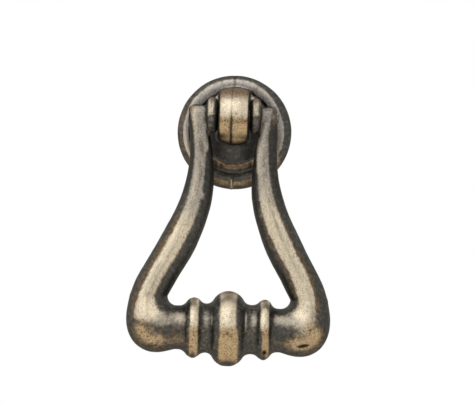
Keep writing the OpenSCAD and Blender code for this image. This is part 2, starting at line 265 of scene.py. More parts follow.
def bail_shape(x, y, z):
    across = np.abs(x)
    out = y + PIVOT_OUT
    drop = PIVOT_UP - z

    # arms, with rounded ends above the pivot
    d = np.clip(drop, 0, BEND_DROP)
    middle, half_w, half_d, square = (
        along(d, k) for k in (MIDDLE, WIDTH, DEPTH, SQUARENESS))
    head = np.where(x < 0, *(much * bump_at(d - at, over) for much, at, over in HEAD_SWELL))
    middle = middle + head
    half_w = half_w / 2 + head
    half_d = half_d / 2
    reach = np.hypot(out, np.minimum(drop, 0))
    level = (np.abs(across - middle) / half_w) ** square + (reach / half_d) ** square
    arm = (level ** (1 / square) - 1) * np.minimum(half_w, half_d)

    # swollen corners
    rx, rz, _, width = at_corner(across, drop)
    corner = np.hypot(np.hypot(rx, rz) - BEND_INNER_R - width / 2, out) - width / 2
    swept = np.where(drop < BEND_DROP, arm, np.where(across >= BEND_X, corner, ELSEWHERE))

    # turned bar
    on_bar = across - BEAD_SLIP * (x > 0) * bump_at(across - BEAD_SLIP_AT, BEAD_SLIP_OVER)
    radius = np.interp(on_bar, BAR_X, BAR_RADIUS)
    slope = np.interp(on_bar, BAR_X, BAR_SLOPE)
    foot = bump_at(np.abs(on_bar - SIDE_BEAD[1]) - FOOT_AT, FOOT_W)
    radius = radius - FOOT_CUT * (foot * rise(drop - BAR_DROP, 2, 5))
    bar = (np.hypot(out, drop - BAR_DROP) - radius) / np.sqrt(1 + slope * slope)
    bar = np.where(across <= BEND_X, bar, ELSEWHERE)
    bar = soft_max(bar, drop - BAR_DROP - MIDDLE_FLAT, FLAT_EDGE)

    # collars and the hubs that join them to the arms
    turn = np.hypot(out, drop)
    round_r = COLLAR_W / 2
    from_middle = across - COLLAR_X - np.where(x < 0, *COLLAR_SLIP) - round_r
    collar = np.hypot(np.maximum(turn - (COLLAR_R - round_r), 0), from_middle) - round_r
    hub = np.maximum(turn - HUB_R, np.abs(across - COLLAR_X - HUB_HALF_W) - HUB_HALF_W)

    whole = np.minimum(soft_min(swept, np.minimum(collar, hub), HUB_FILLET), bar)
    return soft_max(whole, PIN_R + BAIL_BORE_GAP - turn, BAIL_BORE_EDGE)


def bail_detail(x, y, z):
    """How far the cast surface stands out from the plain shape."""
    rough = 0.035 * waves(x, y, z, 2.6) + 0.018 * waves(x + 40, y, z, 1.1) - 0.02
    turn = np.hypot(y + PIVOT_OUT, PIVOT_UP - z)
    off_pin = np.clip((turn - 1.6) / 1.2, 0, 1)
    deep = marks(x, z, BAIL_PITS) + SLIT_DEPTH * slit(x, z)
    return rough * off_pin - deep * (y < -PIVOT_OUT)


# ---------------------------------------------------------------- the rosette's shape
def on_knuckle(h):
    """1 on the knuckle and 0 on the plate, by height above the back."""
    return rise(h, KNUCKLE_FROM_H, KNUCKLE_ON_H)


def rosette_shape(x, y, z):
    h = -y
    r = np.hypot(x, z)
    # the outer ring is gentler inside, most of all on the right, and the inner ring outside
    from_crest = r - (ROSETTE_R - RING_ROUND_R)
    slope = RING_SLOPE - RING_SLOPE_LESS * rise(x, 5, 9)
    from_crest = np.where(from_crest < 0, slope * from_crest, from_crest)
    ring = np.hypot(from_crest, np.maximum(h - (RING_H - RING_ROUND_R), 0)) - RING_ROUND_R
    disc = np.maximum(h - GROOVE_H, r - (ROSETTE_R - RING_ROUND_R))
    from_inner = np.where(r > INNER_RING_R, INNER_RING_SLOPE, 1.0) * (r - INNER_RING_R)
    over_inner = np.maximum(h - (INNER_RING_H - INNER_ROUND_R), 0)
    inner = np.hypot(from_inner, over_inner) - INNER_ROUND_R
    dome_rise = DOME_H - DOME_EDGE_H
    sphere_r = (INNER_RING_R ** 2 + dome_rise ** 2) / (2 * dome_rise)
    dome = np.maximum(np.hypot(r, h - DOME_H + sphere_r) - sphere_r, r - INNER_RING_R)
    plate = soft_min(ring, disc, PLATE_FILLET)
    plate = soft_min(plate, soft_min(inner, dome, DOME_FILLET), PLATE_FILLET)

    post_r = np.hypot(x, z - PIVOT_UP)
    post = np.hypot(post_r, np.maximum(h - PIVOT_OUT, 0)) - KNUCKLE_R
    knuckle = soft_max(post, np.abs(x - KNUCKLE_SLIP) - KNUCKLE_HALF_W, KNUCKLE_EDGE)
    body = soft_min(plate, knuckle, KNUCKLE_FILLET)
    body = soft_max(body, -h, BACK_EDGE)

    # the back's core, the tapped hole with its thread, and the pin's bore
    depth = CORE_INNER - np.clip(r - CORE_STEP_R, 0, CORE_INNER - CORE_OUTER)
    core = soft_min(r - BOSS_R, ROSETTE_R - RIM_W - r, CORE_FILLET)
    core = soft_min(core, depth - h, CORE_FILLET)
    body = soft_max(body, core, CORE_EDGE)
    turns = h / THREAD_PITCH - np.arctan2(z, x) / (2 * math.pi)
    groove = THREAD_DEPTH * (0.5 - np.abs(turns - np.floor(turns) - 0.5)) * 2
    hole = np.minimum(THREAD_R + groove - r, HOLE_DEPTH - h)
    body = np.maximum(body, hole)
    bore = PIN_R + KNUCKLE_BORE_GAP - np.hypot(h - PIVOT_OUT, z - PIVOT_UP)
    return soft_max(body, bore, KNUCKLE_BORE_EDGE)


def rosette_detail(x, y, z):
    """How far the cast surface stands out from the plain shape."""
    h = -y
    r = np.hypot(x, z)
    knuckle = on_knuckle(h)
    rough = 0.03 * waves(x, y, z, 2.4) + 0.015 * waves(x, y + 30, z, 1.0)
    # the inner ring is left rough from the mould
    ragged = 0.12 * waves(x, y, z + 20, 0.7) * bump_at(r - INNER_RING_R, 0.9)
    rough = rough + ragged * rise(h, 2.2, 2.8)
    # the seam down the knuckle is deeper below the pivot
    low = rise(z - PIVOT_UP, 0.2, -0.8)
    seam = (SEAM_DEPTH + SEAM_DEEPER * low) * bump_at(x - SEAM_X, 0.16 + 0.08 * low)
    rough = rough - seam * knuckle
    # the crack is above the knuckle, the flash and the notch at the ring's foot
    crack = CRACK_DEPTH * bump_at(x - CRACK_X, 0.20) * rise(z, 9.0, 9.8)
    flash = FLASH_H * bump_at(x - FLASH_X, 0.35) * rise(-z, 9.6, 10.4)
    notch = NOTCH_DEPTH * bump_at(x - NOTCH_X, 0.10) * rise(-z, 9.0, 9.8)
    rough = rough - crack * rise(h, 1, 2) * (1 - knuckle)
    rough = rough + flash * rise(h, 2, 3)
    rough = rough - notch * rise(h, 1, 2)
    # smooth at the back and in the pin's bore
    off_pin = np.clip((np.hypot(h - PIVOT_OUT, z - PIVOT_UP) - 1.5) / 1.0, 0, 1)
    return rough * (np.clip(h / 0.6, 0, 1) * off_pin)


# ---------------------------------------------------------------- meshes from the shapes
# Half the length that a slope is measured over, to move a point and for its outward direction,
# the furthest that a point moves at once, and the least slope squared that a move allows for
MOVE_SPAN, FACE_SPAN, MOST_MOVE, LEAST_SLOPE_SQUARED = 0.02, 0.03, 0.1, 0.09
TINY = 1e-9


def slope_of(shape, p, step):
    parts = []
    for k in range(3):
        d = np.zeros(3)
        d[k] = step
        parts.append((shape(*(p + d).T) - shape(*(p - d).T)) / (2 * step))
    return np.stack(parts, 1)


def unit_slope(shape, p):
    """The shape's outward direction at each point."""
    g = slope_of(shape, p, FACE_SPAN)
    return g / np.maximum(np.linalg.norm(g, axis=1, keepdims=True), TINY)


def settle(shape, p, times):
    """Moves points onto the surface."""
    for _ in range(times):
        g = slope_of(shape, p, MOVE_SPAN)
        size = np.maximum((g * g).sum(1), LEAST_SLOPE_SQUARED)
        move = (shape(*p.T) / size)[:, None] * g
        length = np.linalg.norm(move, axis=1, keepdims=True)
        p = p - move * np.minimum(1, MOST_MOVE / np.maximum(length, TINY))
    return p


def net(shape, low, high, cell):
    """A net of points and quads near the surface, one point for each cell that it crosses."""
    low = np.array(low, float)
    n = np.ceil((np.array(high) - low) / cell).astype(int) + 1
    axes = [low[k] + cell * np.arange(n[k]) for k in range(3)]
    value = np.empty(n, np.float32)
    for i, x in enumerate(axes[0]):
        yy, zz = np.meshgrid(axes[1], axes[2], indexing="ij")
        value[i] = shape(np.full_like(yy, x), yy, zz)
    inside = value < 0

    total = int(np.prod(n))
    strides = np.array([n[1] * n[2], n[2], 1])
    count = np.zeros(total)
    sums = np.zeros((3, total))
    quads = []
    for k in range(3):
        # where the grid's lines along axis k cross the surface
        a = [slice(None)] * 3
        b = [slice(None)] * 3
        a[k], b[k] = slice(None, -1), slice(1, None)
        cut = np.argwhere(inside[tuple(a)] != inside[tuple(b)])
        va = value[tuple(a)][tuple(cut.T)].astype(float)
        vb = value[tuple(b)][tuple(cut.T)].astype(float)
        place = cut.astype(float)
        place[:, k] += va / (va - vb)
        # each crossing counts for the four cells round it, and gives the quad between them
        u, v = (k + 1) % 3, (k + 2) % 3
        ring = []
        for du, dv in ((0, 0), (1, 0), (1, 1), (0, 1)):
            c = cut.copy()
            c[:, u] -= du
            c[:, v] -= dv
            flat = c @ strides
            ring.append(flat)
            count += np.bincount(flat, minlength=total)
            for m in range(3):
                sums[m] += np.bincount(flat, weights=place[:, m], minlength=total)
        quad = np.stack(ring, 1)
        flip = va > 0
        quad[flip] = quad[flip][:, ::-1]
        quads.append(quad)
    used = np.flatnonzero(count)
    index = np.full(total, -1)
    index[used] = np.arange(len(used))
    return low + cell * (sums[:, used] / count[used]).T, index[np.concatenate(quads)]


def surface(shape, detail, span, cell):
    """Points and quads of the surface inside a box, evened out and with its detail."""
    points, quads = net(shape, *span, cell)
    points = settle(shape, points, 2)
    edges = np.concatenate([quads[:, [i, (i + 1) % 4]] for i in range(4)])
    edges = np.concatenate([edges, edges[:, ::-1]])
    start, end = edges.T
    degree = np.bincount(start, minlength=len(points))[:, None]
    for _ in range(2):
        # each point goes halfway to the mean of its neighbours, then back onto the surface
        mean = np.stack([np.bincount(start, weights=points[end, m], minlength=len(points))
                         for m in range(3)], 1) / degree
        points = settle(shape, points + 0.5 * (mean - points), 1)
    return settle(lambda x, y, z: shape(x, y, z) - detail(x, y, z), points, 2), quads


# ---------------------------------------------------------------- where the metal shows what
# The bright band's inner and outer edges across an arm, from -1 at its inner side to 1 at its
# outer side. Down to 40 mm below the pivot the place is that distance; then it goes on to 53
# round the corner.
# The two arms' tables differ where painted light from the left shifts both bands towards it.
BAND_TURN, BAND_ROUND = 40, 13
BAND_AT = [-1, 3, 8, 14, 24, 34, 40, 44, 47, 50, 53]
BAND_LEFT = ([-0.68, -0.78, -0.42, -0.25, -0.34, -0.26, -0.30, -0.45, -0.60, -0.65, -0.70],
             [0.90, 0.65, 0.58, 0.58, 0.52, 0.56, 0.53, 0.60, 0.05, -0.10, -0.15])
BAND_RIGHT = ([-1.00, -1.02, -0.84, -0.50, -0.53, -0.35, -0.55, -0.68, -0.75, -0.77, -0.72],
              [0.10, -0.02, 0.20, 0.34, 0.47, 0.50, 0.35, 0.30, 0.15, -0.20, -0.25])
# Place across the left arm, by distance below the pivot, of its dark streak, a painted dark
# reflection, and of its creamier ridge, and how strong the ridge is
STREAK_AT, STREAK_U = [3, 10, 16, 24, 32, 40], [-0.10, -0.15, 0.0, 0.03, 0.09, 0.03]
RIDGE_AT, RIDGE_U = [3, 10, 16, 20], [0.45, 0.40, 0.25, 0.2]
RIDGE_LEVEL_AT, RIDGE_LEVEL = [-1, 4, 9, 13, 16, 20], [0.8, 0.5, 0.1, 0.25, 0.6, 0.2]


def arm_band(x, drop, up, t, u):
    """The bare band down each arm and round its corner, shifted by painted light from the left,
    and its inner and outer edges.
    """
    left, right = x < 0, x > 0
    station = np.minimum(drop, BAND_TURN) + BAND_ROUND * t
    inner, outer = (
        np.where(left, np.interp(station, BAND_AT, a), np.interp(station, BAND_AT, b))
        for a, b in zip(BAND_LEFT, BAND_RIGHT))
    soft = 0.15 + 0.12 * rise(t, 0.15, 0.45)
    band = rise(u, inner - 0.15, inner + 0.15) * rise(u, outer + soft, outer - soft)
    # duller round the corner, where it faces up, and at the arms' ends; duller still on the right
    # corner and the right arm's end, as painted shade
    band = band * (1 - 0.30 * rise(t, 0.35, 0.65)
                   - 0.30 * right * bump_at(t - 0.2, 0.25) * rise(t, 0.0, 0.1))
    band = band * rise(up, 0.95, 0.70)
    band = band * (1 - np.where(left, 0.22 * bump_at(drop - 5, 6), 0.42 * rise(drop, 8, -2)))
    # half-worn shoulders beside it
    outer_side = rise(u, outer + 0.32, outer + 0.12)
    outer_side = outer_side * np.where(left, rise(drop, 12, 20), rise(drop, 26, 30))
    inner_side = rise(u, inner - 0.34, inner - 0.10) * rise(drop, 18, 24) * right
    shoulder = np.where(u > (inner + outer) / 2, outer_side, inner_side)
    band = np.maximum(band, 0.17 * shoulder * (1 - rise(t, 0.1, 0.4)))
    # a worn patch on the right arm's end
    patch = rise(drop, 2.5, 0.5) * rise(u, -0.2, 0.2) * rise(u, 1.0, 0.7)
    return np.maximum(band, 0.30 * right * patch), inner, outer


def arm_dark_reflections(x, y, z, t, u):
    """Painted dark reflections streaking down the band."""
    left, drop = x < 0, PIVOT_UP - z
    middle = np.where(left, np.interp(drop, STREAK_AT, STREAK_U),
                      0.10 * rise(drop, 14, 24) - 0.12 * rise(drop, 17, 12))
    from_middle = u - (middle + 0.03 * waves(x * 0 + 3, y * 0, z, 5.0))
    streak = bump_at(from_middle, 0.09 + 0.05 * rise(drop, 16, 10))
    streak = streak * rise(waves(x, y, z, 1.3), -0.9, 0.3)
    beside = 0.9 * bump_at(from_middle - 0.20, 0.05)
    streak = streak + beside * rise(waves(x, y + 9, z, 1.7), -0.3, 0.4)
    streak = streak * rise(drop, 1, 4) * (1 - t)
    streak = streak * np.where(left, 0.75 - 0.40 * rise(drop, 12, 20),
                               0.60 - 0.36 * rise(drop, 22, 30))
    return streak + 0.30 * bump_at(u + 0.09, 0.16) * bump_at(drop - 41, 4) * left


def corner_bare(x, t, u):
    """The worn outer side of each corner."""
    worn = bump_at(u - 0.50, 0.28) * rise(t, 0.30, 0.50) * (0.85 - 0.50 * rise(t, 0.72, 0.92))
    worn = worn * (1 + 0.3 * (x > 0))
    spot = bump_at(u - 0.15, 0.3) * bump_at(t - 0.52, 0.20)
    return np.maximum(worn, np.where(x < 0, 0.45, 1.0) * spot)


def bar_bare_and_highlight(x, below, up, front):
    """The beads, then how bare their crests are, and the dark necks' fine lines with painted
    highlights on their upper halves.
    """
    across, left, right = np.abs(x), x < 0, x > 0
    middle = rise(across - 0.5 * right * rise(below, -0.8, 1.5), 2.35, 1.35)
    lower = rise(below, -1.5, 2.5) * right
    bead_x = np.where(left, 7.42, 8.08 + 0.30 * lower)
    sides = rise(np.abs(across - bead_x), 1.30 - 0.25 * lower, 0.60 - 0.15 * lower)
    beads = np.maximum(middle, sides)
    crest = beads * rise(up, 1.05, 0.90) * rise(up, -0.98, -0.66) * rise(front, -0.2, 0.15)
    # painted reflection: the crests duller along a dark horizon a little below the axis
    crest = crest * (1 - 0.22 * bump_at(below - 0.7, 0.8))
    neck_lines_and_highlight = (0.80 + 0.25 * right) * bump_at(across - np.where(left, 3.50, 3.93), 0.22)
    neck_lines_and_highlight = neck_lines_and_highlight + np.where(left, 0.48 * bump_at(across - 4.9, 0.65),
                           0.65 * bump_at(across - 5.75, 0.8))
    neck_lines_and_highlight = neck_lines_and_highlight * (bump_at(below + 2.2, 1.7) + 0.22 * rise(front, 0.6, 0.9))
    neck_lines_and_highlight = neck_lines_and_highlight * rise(front, -0.1, 0.2)
    return beads, crest, np.maximum(neck_lines_and_highlight, 0.14 * rise(front, 0.2, 0.6))


def collar_looks(x, y, z, up):
    """The collars, how bare their bright lines are, painted highlight on their upper halves only,
    and the painted dark reflection beside each.
    """
    across, left, right = np.abs(x), x < 0, x > 0
    turn = np.hypot(y + PIVOT_OUT, PIVOT_UP - z)
    collar_end = COLLAR_X + COLLAR_W + np.where(left, *COLLAR_SLIP)
    collar = rise(across, collar_end + 0.1, collar_end - 0.1) * rise(turn, 5, 4.5)
    from_line = across - collar_end + COLLAR_W / 2 - np.where(left, 0.40, 0.05)
    line = rise(np.abs(from_line), 0.95 - 0.20 * left, 0.35) * (1.1 - 0.3 * right)
    # painted highlight: the bright line mostly on the collar's upper half
    line = line * (0.24 + 0.12 * right + 0.7 * rise(up, -0.10, 0.15))
    line = np.maximum(line, 0.26 * rise(up, -0.3, 0.1))
    return collar, line, 0.55 * bump_at(from_line + 0.15, 0.13) * collar * rise(up, -0.05, 0.1)


def bail_looks(p, n):
    """How bare, grey, tan below, freckled, brown, fringed and dark the bail is at each point; the
    tan, the dark streaks, and parts of the bare, brown and fringe are painted light and shade.
    """
    x, y, z = p.T
    across, drop = np.abs(x), PIVOT_UP - z
    left, right = x < 0, x > 0
    up, front = n[:, 2], -n[:, 1]
    below = drop - BAR_DROP
    bar_end = 9.9 - 0.5 * left
    on_bar = rise(across, bar_end, bar_end - 0.6) * rise(below, -9.5, -8.8)
    t, u = arm_place(across, drop)

    # bare bands and corners, then the beads, the collars and the chips
    band, inner, outer = arm_band(x, drop, up, t, u)
    arm = np.maximum(band, corner_bare(x, t, u)) * rise(front, -0.1, 0.3)
    arm = arm * rise(across, 9.7 - 0.8 * left, 10.5 - 0.9 * left)
    arm = arm * (1 - 0.75 * right * rise(below, -1.5, 0) * rise(across, 13.5, 12.0))
    beads, crest, neck_lines_and_highlight = bar_bare_and_highlight(x, below, up, front)
    bare_and_highlight = np.where(drop < 30, band * rise(front, -0.1, 0.3), arm)
    bare_and_highlight = bare_and_highlight * (1 - on_bar) + on_bar * np.maximum(np.maximum(crest, neck_lines_and_highlight), arm)
    collar, line, collar_dark_reflection = collar_looks(x, y, z, up)
    bare_and_highlight = bare_and_highlight * (1 - collar) + collar * line * rise(front, 0.0, 0.4)
    for chip_x, chip_z, width, height in CHIPS:
        chip = bump_at(x - chip_x, width) * bump_at(z - chip_z, height)
        bare_and_highlight = bare_and_highlight + 0.9 * chip * rise(front, 0, 0.2)

    # painted reflection: tan undersides of the bar and the corners' lower sides; freckles most of
    # all there, along the bar's horizon and along the band's edges
    corner = rise(t, 0.05, 0.4) * (1 - on_bar)
    reflected_underside = rise(below, -1.7, 0.8) * on_bar
    reflected_underside = reflected_underside + corner * rise(u, -0.15, 0.35) * rise(t, 0.25, 0.5)
    freckle = 0.28 + 0.14 * on_bar + 0.55 * reflected_underside + 0.60 * on_bar * bump_at(below - 0.9, 0.8)
    across_band = np.clip((u - inner) / (outer - inner), 0, 1)
    freckle = freckle + 0.5 * rise(np.abs(across_band - 0.5), 0.22, 0.45) * (1 - on_bar)

    # greyer upper arms and corners, but for a creamier ridge
    grey = np.where(left, rise(drop, 26, 18), rise(drop, 23, 12))
    grey = grey + 0.7 * rise(t, 0.4, 0.7) * (1 - beads * on_bar)
    ridge = bump_at(u - np.interp(drop, RIDGE_AT, RIDGE_U), 0.22)
    ridge = ridge * np.interp(drop, RIDGE_LEVEL_AT, RIDGE_LEVEL)
    right_ridge = 0.4 * bump_at(u + 0.58, 0.25) * rise(drop, 4, 8) * rise(drop, 15, 12)
    grey = grey * (1 - collar * 0.7) * (1 - np.where(left, ridge, right_ridge))

    # brown where the bar and collars face up or down, towards the corners' sides, on the right
    # corner and at the arms' ends: brown oxide with painted shade
    brown_and_shading = 0.75 * rise(up, 0.70, 0.97) + 0.35 * (x > 4) * reflected_underside + 0.5 * rise(-up, 0.72, 0.97)
    brown_and_shading = brown_and_shading * on_bar + 0.8 * collar * rise(up, 0.5, 0.85)
    brown_and_shading = brown_and_shading + 0.35 * corner * rise(np.abs(u), 0.5, 0.85)
    brown_and_shading = brown_and_shading + 0.35 * right * bump_at(t - 0.15, 0.2) * (t > 0)
    brown_and_shading = brown_and_shading + 0.7 * rise(drop, 0.5, -1.2) * rise(u, -0.2, 0.7) * (1 - collar)

    # a golden brown fringe where bare metal meets the patina
    fringe_and_lit_edge = (0.65 + 0.35 * rise(u, -0.1, 0.2)) * rise(drop, 14, 26)
    fringe_and_lit_edge = fringe_and_lit_edge * (1 - 0.6 * corner) * (1 - on_bar)
    fringe_and_lit_edge = fringe_and_lit_edge + 0.6 * on_bar * beads * rise(crest, 0.02, 0.2)
    fringe_and_lit_edge = fringe_and_lit_edge + 0.9 * rise(drop, 6, 3) * rise(u, 0.1, 0.5) * (1 - collar)
    fringe_and_lit_edge = fringe_and_lit_edge * rise(bare_and_highlight, 0.0, 0.08)

    # soot in the pits and the slit, and the upper arms darker away from the bare band
    hole = (marks(x, z, BAIL_PITS) * 4 + 1.8 * slit(x, z)) * (front > 0)
    upper_darkening = 0.42 * rise(drop, 24, 13) * rise(bare_and_highlight, 0.3, 0.0) * (1 - collar)
    return {"bare_and_highlight": bare_and_highlight, "grey": grey, "reflected_underside": reflected_underside, "freckle": freckle, "brown_and_shading": brown_and_shading,
            "fringe_and_lit_edge": fringe_and_lit_edge, "seam_and_dark_reflection": np.maximum(arm_dark_reflections(x, y, z, t, u), collar_dark_reflection),
            "hole": np.minimum(np.maximum(hole, upper_darkening), 1)}


def plate_bare_and_highlight(x, z, h, r, radial, front):
    """How bare the rosette's plate is with its painted highlights, and there its painted lit left
    flank, inner ring and painted groove highlight.
    """
    right, left = rise(x, 3, 11), rise(-x, 3, 11)
    top, bottom = rise(z, 3, 7), rise(-z, 6, 9)
    # the outer ring's crest, whose bright line shifts and narrows round the ring: painted light
    # from the left
    line = np.abs(radial + 0.38 * right + 0.10 * top - 0.32 * bottom)
    line = line / (0.5 - 0.10 * right - 0.22 * left * (1 - 0.6 * top)
                   - 0.16 * bottom + 0.12 * top)
    start = ROSETTE_R - 3.4 + 0.6 * rise(np.abs(x), 4.5, 3.5) * rise(z, 7, 8)
    bare_and_highlight = 0.95 * rise(r, start, start + 0.4) * rise(h, RING_H + 0.8, RING_H + 0.3)
    bare_and_highlight = bare_and_highlight * rise(line, 1.35, 0.65) * rise(front, 0, 0.3) * (1 - 0.38 * rise(z, -2, -8))
    bare_and_highlight = bare_and_highlight * (1 - 0.14 * rise(z, 3, 9))
    bare_and_highlight = bare_and_highlight * (1 - 0.22 * rise(r, 11.1, 10.6) * rise(z, 2, 7) * rise(x, -4, 0))
    # painted light: the left side's outer flank is lit, and shown brown
    lit_left_flank = 0.14 * left * rise(radial, 0.2, 0.45) * rise(front, 0.1, 0.3)
    lit_left_flank = lit_left_flank * (r > ROSETTE_R - 2.9)
    # two lines on the inner ring below, and a painted highlight in the groove above the knuckle
    inner = 0.95 * bump_at(r - INNER_RING_R + 0.05, 0.32)
    inner = inner + 0.85 * bump_at(r - INNER_RING_R - 0.55, 0.25)
    inner = inner * rise(front, 0.5, 0.8) * rise(h, 7, 5) * rise(z, -1, -5)
    groove = rise(r, 8.0, 8.3) * rise(r, 9.5, 9.2) * rise(z, 7.0, 7.3)
    groove = groove * rise(np.abs(x - KNUCKLE_SLIP), 3.0, 3.3)
    groove = groove * rise(h, 2.1, 2.3) * rise(h, 4, 3)
    bare_and_highlight = np.maximum(np.maximum(bare_and_highlight, lit_left_flank), np.maximum(0.62 * inner, 1.3 * groove))
    # a faint painted highlight in the groove below, lifting its shade, and a worn spot on the ring
    foot = 0.34 * bump_at(r - 9.4, 0.38) * rise(-z, 4, 7)
    spot = 0.5 * bump_at(x - 9.5, 0.9) * bump_at(z + 6.2, 1.3) * rise(r, 10.2, 10.6)
    worn = np.maximum(foot, spot) * rise(front, 0.0, 0.2) * rise(h, 1.5, 2.5)
    return np.maximum(bare_and_highlight, worn), lit_left_flank, inner, groove


def rosette_looks(p, n):
    """What bail_looks gives, for the rosette."""
    x, y, z = p.T
    h, r = -y, np.hypot(x, z)
    up, front = n[:, 2], -n[:, 1]
    radial = (n[:, 0] * x + n[:, 2] * z) / np.maximum(r, 0.1)
    lift = z - PIVOT_UP
    knuckle = on_knuckle(h)

    plate, lit_left_flank, inner, groove = plate_bare_and_highlight(x, z, h, r, radial, front)
    # the knuckle's face is bare; fullest on its underside, a painted light lifting the shade there
    flat = rise(np.abs(n[:, 0]), 0.85, 0.60)
    under_edge = rise(up, -1.0, -0.80) * rise(front, -0.6, 0.0)
    under_edge = np.maximum(under_edge, 0.75 * rise(front, 0.02, 0.15))
    bare_and_highlight = plate * (1 - knuckle) + knuckle * flat * under_edge
    flash = bump_at(x - FLASH_X, 0.40)
    bare_and_highlight = np.maximum(bare_and_highlight, 0.9 * flash * rise(-z, 10.2, 10.6) * rise(h, 3, 4))

    # painted reflection: the plate's lower part and the knuckle below the pivot tan, freckled most
    # along the knuckle's horizon
    low = rise(z, -5, -9) * (1 - knuckle) * (1 - bump_at(r - 9.3, 0.5))
    reflected_underside = rise(lift, 0.35, -1.05) * knuckle + 0.8 * inner + 0.8 * low
    grey = (1 - knuckle) * rise(z, -6, 2) * (1 - groove)
    # brown with painted shade: where the knuckle faces up or down, along its horizon, at its sides
    # and low on the plate, some of it oxide; the lit left flank is shown brown too
    brown_and_shading = 0.95 * rise(up, 0.32, 0.90) + 0.45 * rise(-up, 0.55, 0.90)
    brown_and_shading = brown_and_shading + 0.5 * bump_at(lift + 1.2, 0.75)
    brown_and_shading = knuckle * (brown_and_shading + 0.35 * rise(np.abs(x - KNUCKLE_SLIP), 2.5, 3.2))
    brown_and_shading = brown_and_shading + 0.42 * low + 0.35 * inner + 2.0 * lit_left_flank
    freckle = 0.30 + 0.55 * reflected_underside + 0.9 * bump_at(lift + 1.1, 0.9) * knuckle
    # a golden brown fringe on the knuckle and round the plate's lower, left and upper parts; on
    # the left it is painted light
    fringe_and_lit_edge = rise(z, -4, -8) * (1 - bump_at(r - 9.3, 0.7))
    fringe_and_lit_edge = fringe_and_lit_edge + 0.6 * rise(x, -9, -11) + 0.5 * rise(z, 6, 9)
    fringe_and_lit_edge = (knuckle + (1 - knuckle) * fringe_and_lit_edge) * rise(bare_and_highlight, 0.0, 0.08)

    # the knuckle's seam and pits, the slot under it, and the ring's crack and notch
    seam_x = x - SEAM_X - 0.06 * waves(x * 0, y, z, 1.5)
    seam = bump_at(seam_x, 0.22 + 0.12 * rise(lift, 0, -1)) * (1 - 0.70 * bump_at(lift - 2.4, 2.0))
    seam = np.maximum(seam, marks(x, z, KNUCKLE_PITS)) * knuckle * (front > 0)
    slot = 0.85 * bump_at(seam_x + 0.04, 0.26) * rise(lift, 0.1, -0.8) * knuckle * (front > 0)
    crack = bump_at(x - CRACK_X - 0.12 * waves(x * 0 + 5, y, z, 0.8), 0.24)
    crack = crack * rise(z, 9.3, 9.8) * rise(h, 1, 2)
    notch = bump_at(x - NOTCH_X, 0.10) * rise(-z, 9.6, 9.9) * rise(h, 1, 2)
    return {"bare_and_highlight": bare_and_highlight, "grey": grey, "reflected_underside": reflected_underside * (1 - flash * (1 - knuckle)),
            "freckle": freckle, "brown_and_shading": brown_and_shading, "fringe_and_lit_edge": fringe_and_lit_edge,
            "seam_and_dark_reflection": 0.9 * np.minimum(seam, 1),
            "hole": np.maximum(0.85 * np.maximum(crack, notch), slot)}


def new_piece(name, points, quads, body, nodes, values):
    mesh = bpy.data.meshes.new(name)
    mesh.vertices.add(len(points))
    mesh.vertices.foreach_set("co", (points * MM).astype(np.float32).ravel())
    mesh.loops.add(4 * len(quads))
    mesh.loops.foreach_set("vertex_index", quads.astype(np.int32).ravel())
    mesh.polygons.add(len(quads))
    mesh.polygons.foreach_set("loop_start", (4 * np.arange(len(quads))).astype(np.int32))
    mesh.polygons.foreach_set("use_smooth", np.ones(len(quads), bool))
    mesh.update(calc_edges=True)
    mesh.validate()
    for key, data in values.items():
        field = mesh.attributes.new(key, "FLOAT", "POINT")
        field.data.foreach_set("value", data.astype(np.float32))
    piece = bpy.data.objects.new(name, mesh)
    bpy.context.scene.collection.objects.link(piece)
    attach(piece, body)
    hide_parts(*nodes)
    print(name, "triangles", 2 * len(mesh.polygons))
    return piece


# ---------------------------------------------------------------- materials
class Nodes:
    """A tree of shader nodes, joined up in short calls."""

    def __init__(self, tree):
        self.nodes, self.links = tree.nodes, tree.links

    def new(self, kind, **settings):
        node = self.nodes.new("ShaderNode" + kind)
        for key, value in settings.items():
            setattr(node, key, value)
        return node

    def put(self, socket, value):
        """Links an output to the socket, or sets the socket to a number or colour."""
        if isinstance(value, bpy.types.NodeSocket):
            self.links.new(value, socket)
        else:
            socket.default_value = value

    def math(self, operation, a, b, clamp=False):
        node = self.new("Math", operation=operation, use_clamp=clamp)
        self.put(node.inputs[0], a)
        self.put(node.inputs[1], b)
        return node.outputs[0]

    def add(self, a, b, clamp=False):
        return self.math("ADD", a, b, clamp)

    def times(self, a, b, clamp=False):
        return self.math("MULTIPLY", a, b, clamp)


